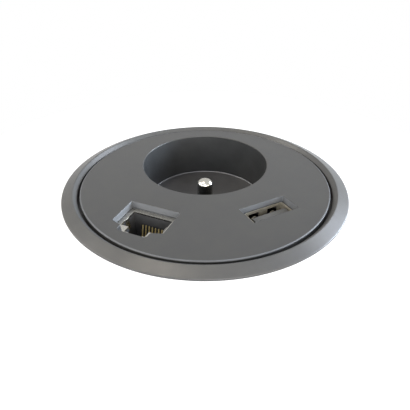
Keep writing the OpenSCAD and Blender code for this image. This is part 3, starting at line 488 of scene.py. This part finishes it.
# The mouth: a wide opening with two steps down to the notch for the plug's latch
MOUTH = [(-5.85, 3.3), (-5.85, -3.3), (-3.5, -3.3), (-3.5, -5.5), (-2.2, -5.5), (-2.2, -6.3), (2.0, -6.3),
         (2.0, -5.5), (2.7, -5.5), (2.7, -3.3), (6.15, -3.3), (6.15, 3.3)]
shield = combine(block(14.7, 11.9, JACK_END, JACK_TOP, y=-1.05, corner=0.35, edge=0.15),
                 [block(13.9, 11.1, JACK_END - 1, JACK_TOP - 0.4, y=-1.05, corner=0.2),
                  sunk(MOUTH, [(0.2, 0), (-2, 0)], {k: 0.12 for k in range(12)})], "DIFFERENCE")
# The ground spring that the shield folds into each side of the mouth
springs = [moved(block(0.16, 1.8, -3.4, 0, edge=0.04),
                 at(side * 5.86, -0.4, JACK_TOP - 0.1) @ turn(side * 5, "Y")) for side in (-1, 1)]
shield = combine(shield, springs, "UNION")
shield.data.transform(DATA_PORT)
settle(shield, "data_jack_shield_folded", TIN, "module", ["data_jack_shield"])

INNER_MOUTH = [(x * 0.992, y * 0.992) for x, y in MOUTH]
body = combine(block(13.8, 11.0, JACK_END, JACK_TOP - 0.45, y=-1.05),
               [prism(INNER_MOUTH, JACK_TOP - 15, JACK_TOP + 1, {k: 0.12 for k in range(12)}),
                block(8.16, 1.0, JACK_TOP - 18, JACK_TOP - 3.6, y=3.3)], "DIFFERENCE")
body.data.transform(DATA_PORT)
settle(body, "data_jack_body_moulded", JACK_PLASTIC, "module", ["data_jack_body"])

wires = gathered(
    moved(turned([(0, -10.7), (0.21, -10.7), (0.21, 0), (0, 0)], {1: 0.05, 2: 0.15}, steps=16),
          DATA_PORT @ at((k - 3.5) * 1.02, 3.7, JACK_TOP - 4.05) @ turn(-14, "X"))
    for k in range(8))
settle(wires, "data_jack_wires_drawn", GOLD, "module", ["data_jack_contacts"])

# ---------------------------------------------------------------- charging port

SHELL_TOP = -0.75
SHELL_END = -15.25
shell = combine(block(13.1, 5.7, SHELL_END, SHELL_TOP, corner=0.7, edge=0.06),
                [block(12.5, 5.1, SHELL_END - 1, SHELL_TOP + 1, corner=0.45)]
                + [block(3.5, 7.7, SHELL_TOP - 8, SHELL_TOP - 0.8, x=side * FINGER_X) for side in (-1, 1)],
                "DIFFERENCE")
fingers = []
for side in (-1, 1):
    for face in (0, 180):
        tip = [(math.cos(math.radians(a)), 5.5 + math.sin(math.radians(a))) for a in range(0, 181, 20)]
        leaf = prism([(-1.0, -0.2), (1.0, -0.2)] + tip, 0, 0.3)
        place = turn(face) @ at(side * FINGER_X, 2.55 + 0.3, SHELL_TOP - 8.2) @ turn(3.5, "X")
        fingers.append(moved(leaf, place @ turn(90, "X")))
shell = combine(shell, fingers, "UNION")
shell.data.transform(USB_PORT)
settle(shell, "usb_shell_folded", SHELL_STEEL, "module", ["usb_shell"], bevel=0.06)

TONGUE_Y = -0.9
TONGUE_T = 1.84
tongue = combine(block(11.1, TONGUE_T, SHELL_END + 1, SHELL_TOP - 0.15, y=TONGUE_Y, edge=0.12),
                 [block(12.4, 5.0, SHELL_END, SHELL_END + 4)], "UNION")
tongue.data.transform(USB_PORT)
settle(tongue, "usb_tongue_moulded", PALE_PLASTIC, "module", ["usb_tongue"])

PAD_T = 0.3
pads = gathered(
    moved(block(1, PAD_T, SHELL_END + 4, SHELL_TOP - 3, x=k * 2.2, y=TONGUE_Y + TONGUE_T / 2 + PAD_T / 2,
                edge=0.05), USB_PORT)
    for k in (-1.5, -0.5, 0.5, 1.5))
settle(pads, "usb_contacts_plated", GOLD, "module", ["usb_contacts"])

# ---------------------------------------------------------------- sleeve and clamp

PITCH = 4.0
THREAD_ROOT = 38.5
THREAD_CREST = 39.5


def screw(low, high, grow):
    """Solid right-hand screw between two heights, fatter than the sleeve's thread by grow."""
    steps = 96
    bm = bmesh.new()
    root, crest, start = THREAD_ROOT + grow, THREAD_CREST + grow, -57.0
    chain = [(root, -1.15 - grow), (crest - 0.15, -0.5 - grow), (crest, -0.35 - grow), (crest, 0.35 + grow),
             (crest - 0.15, 0.5 + grow), (root, 1.15 + grow), (root, PITCH - 1.15 - grow)]
    verts = [bm.verts.new((r, 0, start + z)) for r, z in chain]
    for a, b in zip(verts, verts[1:]):
        bm.edges.new((a, b))
    turns = 16
    bmesh.ops.spin(bm, geom=bm.verts[:] + bm.edges[:], cent=(0, 0, 0), axis=(0, 0, 1),
                   angle=math.tau * turns, steps=steps * turns, dvec=(0, 0, PITCH / steps),
                   use_merge=False)
    bmesh.ops.remove_doubles(bm, verts=bm.verts[:], dist=1e-3)
    for height, keep in ((low, 1), (high, -1)):
        bmesh.ops.bisect_plane(bm, geom=bm.verts[:] + bm.edges[:] + bm.faces[:], plane_co=(0, 0, height),
                               plane_no=(0, 0, -keep), clear_outer=True, dist=1e-5)
        rim = [e for e in bm.edges if e.is_boundary and all(abs(v.co.z - height) < 1e-3 for v in e.verts)]
        bmesh.ops.edgeloop_fill(bm, edges=rim)
    bmesh.ops.recalc_face_normals(bm, faces=bm.faces[:])
    return bm


SLEEVE_END = -45
sleeve = combine(screw(SLEEVE_END, -3.9, 0),
                 [turned([(0, -4), (39.3, -4), (39.3, SLEEVE_TOP), (0, SLEEVE_TOP)], {1: 0.1}, steps=192),
                  turned([(38.3, -2), (38.8, -2), (38.8, -0.65), (38.3, -0.65)], steps=192)], "UNION")
# The bore with its snap groove, the chamfer at the foot and the two keyways
SLEEVE_BORE = 36.2
bore = [turned([(0, -46), (SLEEVE_BORE, -46), (SLEEVE_BORE, -15.4), (37.0, -15.2), (37.0, -12.8),
                (SLEEVE_BORE, -12.6), (SLEEVE_BORE, 1), (0, 1)], steps=144),
        turned([(38.2, -45.2), (41, -45.2), (41, -42.4)], steps=144)]
for side in (0, 180):
    bore.append(moved(block(4, 6, -46, -4, x=40.1), turn(side)))
sleeve = combine(sleeve, bore, "DIFFERENCE")
settle(sleeve, "threaded_sleeve_moulded", NYLON, "module", ["threaded_sleeve"])

WASHER_TOP = -26
WASHER_END = -29
washer = combine(turned([(39.8, WASHER_END), (46, WASHER_END), (46, WASHER_TOP), (39.8, WASHER_TOP)],
                        {0: 0.3, 1: 0.5, 2: 0.5, 3: 0.3}, steps=144),
                 [block(1.9, 5.4, WASHER_END, WASHER_TOP, x=side * 39.75) for side in (-1, 1)], "UNION")
settle(washer, "clamp_washer_moulded", NYLON, "clamp_washer", ["clamp_washer"])

PAD_TOP = -25
pad_top = []
for radius in (42.0, 43.1, 44.2):
    pad_top += [(radius - 0.2, PAD_TOP), (radius - 0.1, PAD_TOP - 0.2),
                (radius + 0.1, PAD_TOP - 0.2), (radius + 0.2, PAD_TOP)]
rubber_pad = turned([(41.04, WASHER_TOP), (41.04, PAD_TOP)] + pad_top
                    + [(45.19, PAD_TOP), (45.19, WASHER_TOP)], steps=144)
settle(rubber_pad, "clamp_pad_pressed", RUBBER, "clamp_washer", ["clamp_pad"])

# Plan of the nut: rounded grips, with the flats between them on the circle of their centres
GRIPS = 16
GRIP_R = 2.968
GRIP_AT = 47 - GRIP_R
outline = []
for k in range(GRIPS):
    centre = math.tau * k / GRIPS
    for a in range(-90, 91, 15):
        local = Vector((GRIP_AT + GRIP_R * math.cos(math.radians(a)), GRIP_R * math.sin(math.radians(a))))
        outline.append((local.x * math.cos(centre) - local.y * math.sin(centre),
                        local.x * math.sin(centre) + local.y * math.cos(centre)))
    for step in (0.3, 0.5, 0.7):
        between = centre + math.tau / GRIPS * step
        outline.append((GRIP_AT * math.cos(between), GRIP_AT * math.sin(between)))
NUT_TOP = -29.2
NUT_END = -39.2
nut = combine(prism(outline, NUT_END, NUT_TOP - 1, edge=0.5),
              [turned([(0, NUT_TOP - 3), (46.5, NUT_TOP - 3), (46.5, NUT_TOP), (0, NUT_TOP)],
                      {1: 0.6, 2: 0.4}, steps=144)], "UNION")
# The inside thread, and a chamfer where it starts at each end
nut = combine(nut, [screw(-41, -28, 0.12),
                    turned([(0, -39.4), (40.7, -39.4), (38.6, -37.3), (0, -37.3)], steps=144),
                    turned([(0, -28.9), (40.0, -28.9), (38.6, -30.3), (0, -30.3)], steps=144)],
              "DIFFERENCE")
settle(nut, "ring_nut_moulded", NYLON, "ring_nut", ["ring_nut"])

# ---------------------------------------------------------------- housing and underside

dressed("lower_housing", NYLON, "module", 0.15)
dressed("base_cover", NYLON, "module", 0.2)
dressed("housing_screws", ZINC, "module", 0.06)
dressed("mains_inlet", INLET_PLASTIC, "module", 0.3)
dressed("inlet_blades", NICKEL, "module", 0.25)
dressed("rear_jack_shield", TIN, "module", 0.1)

# ---------------------------------------------------------------- desk, light and camera

def seen_directly(tree):
    """1 for rays from the camera or off a gloss or through something clear, 0 for light on surfaces."""
    rays = add(tree, "ShaderNodeLightPath").outputs
    seen = add(tree, "ShaderNodeMath", {0: rays["Is Camera Ray"], 1: rays["Is Glossy Ray"]},
               operation="MAXIMUM")
    seen = add(tree, "ShaderNodeMath", {0: seen.outputs[0], 1: rays["Is Transmission Ray"]},
               operation="MAXIMUM")
    return seen.outputs[0]


# The desk top that the module sits in: matt laminate, lifted to white where it is looked at. From below
# it is open to view.
DESK = bpy.data.materials.new("white_desk_laminate")
tree = cleared(DESK)
matt = add(tree, "ShaderNodeBsdfDiffuse", {"Color": linear("#a0a0a0")})
glow = add(tree, "ShaderNodeEmission", {"Color": linear("#ffffff"), "Strength": 0.75})
bright = add(tree, "ShaderNodeAddShader")
tree.links.new(matt.outputs[0], bright.inputs[0])
tree.links.new(glow.outputs[0], bright.inputs[1])
top = add(tree, "ShaderNodeMixShader", {0: seen_directly(tree)})
tree.links.new(matt.outputs[0], top.inputs[1])
tree.links.new(bright.outputs[0], top.inputs[2])
clear = add(tree, "ShaderNodeBsdfTransparent")
sides = add(tree, "ShaderNodeMixShader", {0: add(tree, "ShaderNodeNewGeometry").outputs["Backfacing"]})
tree.links.new(top.outputs[0], sides.inputs[1])
tree.links.new(clear.outputs[0], sides.inputs[2])
add(tree, "ShaderNodeOutputMaterial", {"Surface": sides.outputs[0]})

sheet = bmesh.new()
bmesh.ops.create_circle(sheet, cap_ends=False, segments=128, radius=40)
bmesh.ops.create_circle(sheet, cap_ends=False, segments=128, radius=84)
bmesh.ops.bridge_loops(sheet, edges=sheet.edges[:])
for face in sheet.faces:
    if face.normal.z < 0:
        face.normal_flip()
desk = thing(sheet, "desk_top")
desk.data.transform(Matrix.Scale(MM, 4))
desk.data.materials.append(DESK)
desk.visible_shadow = False

world = bpy.data.worlds.new("studio")
bpy.context.scene.world = world
tree = cleared(world)
level = add(tree, "ShaderNodeMapRange", {"Value": seen_directly(tree), "To Min": 0.4, "To Max": 1.0})
sky = add(tree, "ShaderNodeBackground", {"Color": linear("#ffffff"), "Strength": level.outputs["Result"]})
add(tree, "ShaderNodeOutputWorld", {"Surface": sky.outputs[0]})


def lamp(name, place, size, power, colour):
    """Square soft light that faces the module."""
    data = bpy.data.lights.new(name, "AREA")
    data.shape, data.size, data.energy, data.color = "SQUARE", size, power, linear(colour)[:3]
    made = bpy.data.objects.new(name, data)
    made.location = place
    made.rotation_euler = (-Vector(place)).to_track_quat("-Z", "Y").to_euler()
    bpy.context.scene.collection.objects.link(made)


# A cool window at the right, and a warmer room in front, at the left and overhead
lamp("window_low", (0.678, 0.144, 0.097), 0.35, 16.5, "#e1f0ff")
lamp("window_high", (0.581, 0.211, 0.329), 0.35, 4.8, "#eaf1ff")
lamp("front_right", (0.484, -0.484, 0.146), 0.35, 2.6, "#fff0d8")
lamp("front", (0.117, -0.666, 0.181), 0.4, 5.4, "#fafcff")
lamp("front_high", (0, -0.45, 0.536), 0.4, 0.8, "#ffffff")
lamp("front_left", (-0.435, -0.518, 0.181), 0.4, 3.1, "#fffefa")
lamp("left", (-0.606, 0, 0.35), 0.4, 3.8, "#fffaf2")
lamp("ceiling", (-0.204, 0.021, 0.669), 0.2, 1.6, "#fff3e2")

camera = bpy.data.objects.new("camera", bpy.data.cameras.new("camera"))
camera.location = (0, -0.1116, 0.06668)
camera.rotation_euler = (math.radians(56.302), 0, 0)
camera.data.lens, camera.data.sensor_width = 37.31, 36
camera.data.clip_start = 0.01
bpy.context.scene.collection.objects.link(camera)
bpy.context.scene.camera = camera
bpy.context.scene.view_settings.view_transform = "Standard"
